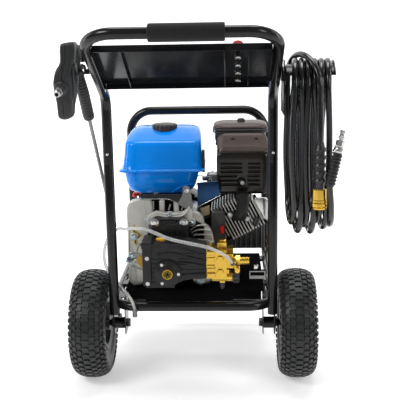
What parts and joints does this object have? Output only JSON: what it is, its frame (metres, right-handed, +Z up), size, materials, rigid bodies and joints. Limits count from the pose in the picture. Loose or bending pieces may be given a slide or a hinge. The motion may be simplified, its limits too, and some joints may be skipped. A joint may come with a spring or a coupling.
{
  "type": "pressure washer",
  "caption": "Petrol pressure washer on a tube trolley with pneumatic tyres, engine, geared plunger pump, pull-off handle, nozzle panel, spray gun and hung hose.",
  "frame": {"origin": "middle of the machine at floor level, measured without the two flexible hoses", "axes": "+X to the right of a user who stands at the handle, +Y forward away from the user, +Z up"},
  "size_m": [0.7788, 0.9064, 1.0587],
  "materials": {
    "frame_paint": "gloss black powder coat",
    "deck_paint": "gloss black",
    "panel_paint": "high gloss black",
    "rim_paint": "satin black",
    "tyre_rubber": "matt",
    "black_rubber": "matt",
    "foam": "matt foam",
    "zinc_steel": "zinc plated",
    "bright_steel": "polished",
    "cast_aluminium": "as cast",
    "cover_aluminium": "painted silver",
    "machined_steel": "machined",
    "black_sheet": "satin black",
    "muffler_steel": "heat-dulled",
    "tank_blue": "gloss blue",
    "cap_plastic": "matt",
    "black_plastic": "matt",
    "brown_plastic": "matt",
    "gun_plastic": "matt dark grey",
    "trigger_plastic": "matt light grey",
    "grey_bracket": "zinc",
    "yellow_plastic": "gloss",
    "red_plastic": "gloss",
    "pump_paint": "gloss black",
    "brass": "machined",
    "plunger_ceramic": "ceramic",
    "rope_fibre": "braided",
    "hose_rubber": "smooth",
    "clear_hose": "clear vinyl",
    "nozzle_red": "gloss",
    "nozzle_yellow": "gloss",
    "nozzle_green": "gloss",
    "nozzle_white": "gloss"
  },
  "bodies": {
    "chassis": {"base_frame": "frame_paint", "deck_plate": "deck_paint", "rubber_feet_and_mounts": "black_rubber", "stub_axles": "zinc_steel", "bolts": "zinc_steel", "engine_crankcase": "cast_aluminium", "crankcase_cover": "cover_aluminium", "engine_cylinder": "cast_aluminium", "blower_housing": "black_sheet", "recoil_cover": "black_sheet", "fuel_tank": "tank_blue", "air_cleaner_base": "black_plastic", "carburettor": "cover_aluminium", "muffler": "muffler_steel", "muffler_guard": "black_sheet", "engine_brackets": "grey_bracket", "oil_caps": "yellow_plastic", "engine_wiring": "black_rubber", "switch_box": "black_plastic", "bearings": "machined_steel", "gear_housing": "pump_paint", "pump_crankcase": "pump_paint", "pump_cover": "pump_paint", "sight_glass": "brass", "pump_head": "brass", "pump_outlet": "brass", "thermal_valve": "black_plastic", "pump_plungers": "plunger_ceramic", "starter_rope": "rope_fibre", "handle_tube": "frame_paint", "foam_grip": "foam", "nozzle_panel": "panel_paint", "hangers": "frame_paint", "siphon_hose": "clear_hose"},
    "wheel_left": {"wheel_left_rim": "rim_paint", "wheel_left_tyre": "tyre_rubber"},
    "wheel_right": {"wheel_right_rim": "rim_paint", "wheel_right_tyre": "tyre_rubber"},
    "crankshaft": {"crankshaft": "machined_steel"},
    "piston": {"piston": "cast_aluminium"},
    "pump_shaft": {"pump_shaft": "machined_steel"},
    "inlet_swivel": {"inlet_swivel": "black_plastic"},
    "throttle_lever": {"throttle_lever": "grey_bracket"},
    "switch_rocker": {"switch_rocker": "red_plastic"},
    "fuel_cap": {"fuel_cap": "cap_plastic"},
    "air_cleaner_cover": {"air_cleaner_cover": "brown_plastic"},
    "air_cleaner_knob": {"air_cleaner_knob": "black_plastic"},
    "starter_grip": {"starter_grip": "red_plastic"},
    "snap_button_left": {"snap_button_left": "bright_steel"},
    "snap_button_right": {"snap_button_right": "bright_steel"},
    "spray_gun": {"gun_body": "gun_plastic", "lance": "black_rubber"},
    "gun_trigger": {"gun_trigger": "trigger_plastic"},
    "nozzle_1": {"nozzle_1": "nozzle_red"},
    "nozzle_2": {"nozzle_2": "nozzle_yellow"},
    "nozzle_3": {"nozzle_3": "nozzle_green"},
    "nozzle_4": {"nozzle_4": "nozzle_white"},
    "pressure_hose": {"hose_coil": "hose_rubber", "hose_tails": "hose_rubber", "hose_couplings": "brass"}
  },
  "joints": [
    {"name": "wheel_left_spin", "type": "hinge", "parent": "chassis", "child": "wheel_left", "pos_m": [-0.314, -0.03128, 0.165], "axis": [1, 0, 0], "continuous": true},
    {"name": "wheel_right_spin", "type": "hinge", "parent": "chassis", "child": "wheel_right", "pos_m": [0.302, -0.03128, 0.165], "axis": [1, 0, 0], "continuous": true},
    {"name": "crankshaft_spin", "type": "hinge", "parent": "chassis", "child": "crankshaft", "pos_m": [-0.076, 0.12372, 0.4], "axis": [0, 1, 0], "continuous": true},
    {"name": "pump_shaft_spin", "type": "hinge", "parent": "chassis", "child": "pump_shaft", "pos_m": [-0.076, -0.07128, 0.352], "axis": [0, 1, 0], "continuous": true},
    {"name": "piston_stroke", "type": "slide", "parent": "chassis", "child": "piston", "axis": [0.9659, 0, 0.2588], "range_m": [-0.032, 0.032]},
    {"name": "inlet_swivel_turn", "type": "hinge", "parent": "chassis", "child": "inlet_swivel", "pos_m": [0.121, -0.09128, 0.332], "axis": [1, 0, 0], "continuous": true},
    {"name": "throttle_turn", "type": "hinge", "parent": "chassis", "child": "throttle_lever", "pos_m": [0.004, 0.13872, 0.521], "axis": [0, 0, 1], "range_deg": [-25, 0]},
    {"name": "switch_rock", "type": "hinge", "parent": "chassis", "child": "switch_rocker", "pos_m": [0.081, 0.03272, 0.441], "axis": [1, 0, 0], "range_deg": [-12, 12]},
    {"name": "fuel_cap_turn", "type": "hinge", "parent": "chassis", "child": "fuel_cap", "pos_m": [-0.102, 0.21372, 0.73], "axis": [0, 0, 1], "range_deg": [-90, 0]},
    {"name": "air_cleaner_cover_lift", "type": "slide", "parent": "chassis", "child": "air_cleaner_cover", "axis": [0, 0, 1], "range_m": [0, 0.08]},
    {"name": "air_cleaner_knob_turn", "type": "hinge", "parent": "air_cleaner_cover", "child": "air_cleaner_knob", "pos_m": [0.142, 0.19372, 0.75], "axis": [0, 0, 1], "continuous": true},
    {"name": "starter_pull", "type": "slide", "parent": "chassis", "child": "starter_grip", "axis": [-1, 0, 0], "range_m": [0, 0.4]},
    {"name": "button_left_press", "type": "slide", "parent": "chassis", "child": "snap_button_left", "axis": [0, 1, 0], "range_m": [0, 0.0045], "stiffness_N_per_m": 900},
    {"name": "button_right_press", "type": "slide", "parent": "chassis", "child": "snap_button_right", "axis": [0, 1, 0], "range_m": [0, 0.0045], "stiffness_N_per_m": 900},
    {"name": "gun_lift_off", "type": "slide", "parent": "chassis", "child": "spray_gun", "axis": [-0.0562, -0.4983, 0.8652], "range_m": [0, 0.3]},
    {"name": "trigger_squeeze", "type": "hinge", "parent": "spray_gun", "child": "gun_trigger", "pos_m": [-0.299, -0.24928, 0.958], "axis": [0, 1, 0], "range_deg": [0, 8], "stiffness_Nm_per_rad": 0.5},
    {"name": "nozzle_1_pull", "type": "slide", "parent": "chassis", "child": "nozzle_1", "axis": [0, 0.4695, 0.8829], "range_m": [0, 0.06]},
    {"name": "nozzle_2_pull", "type": "slide", "parent": "chassis", "child": "nozzle_2", "axis": [0, 0.4695, 0.8829], "range_m": [0, 0.06]},
    {"name": "nozzle_3_pull", "type": "slide", "parent": "chassis", "child": "nozzle_3", "axis": [0, 0.4695, 0.8829], "range_m": [0, 0.06]},
    {"name": "nozzle_4_pull", "type": "slide", "parent": "chassis", "child": "nozzle_4", "axis": [0, 0.4695, 0.8829], "range_m": [0, 0.06]},
    {"name": "hose_lift_off", "type": "slide", "parent": "chassis", "child": "pressure_hose", "axis": [0, 0, 1], "range_m": [0, 0.25]}
  ],
  "couplings": [
    {"joint": "pump_shaft_spin", "follows": "crankshaft_spin", "ratio": -0.5}
  ]
}
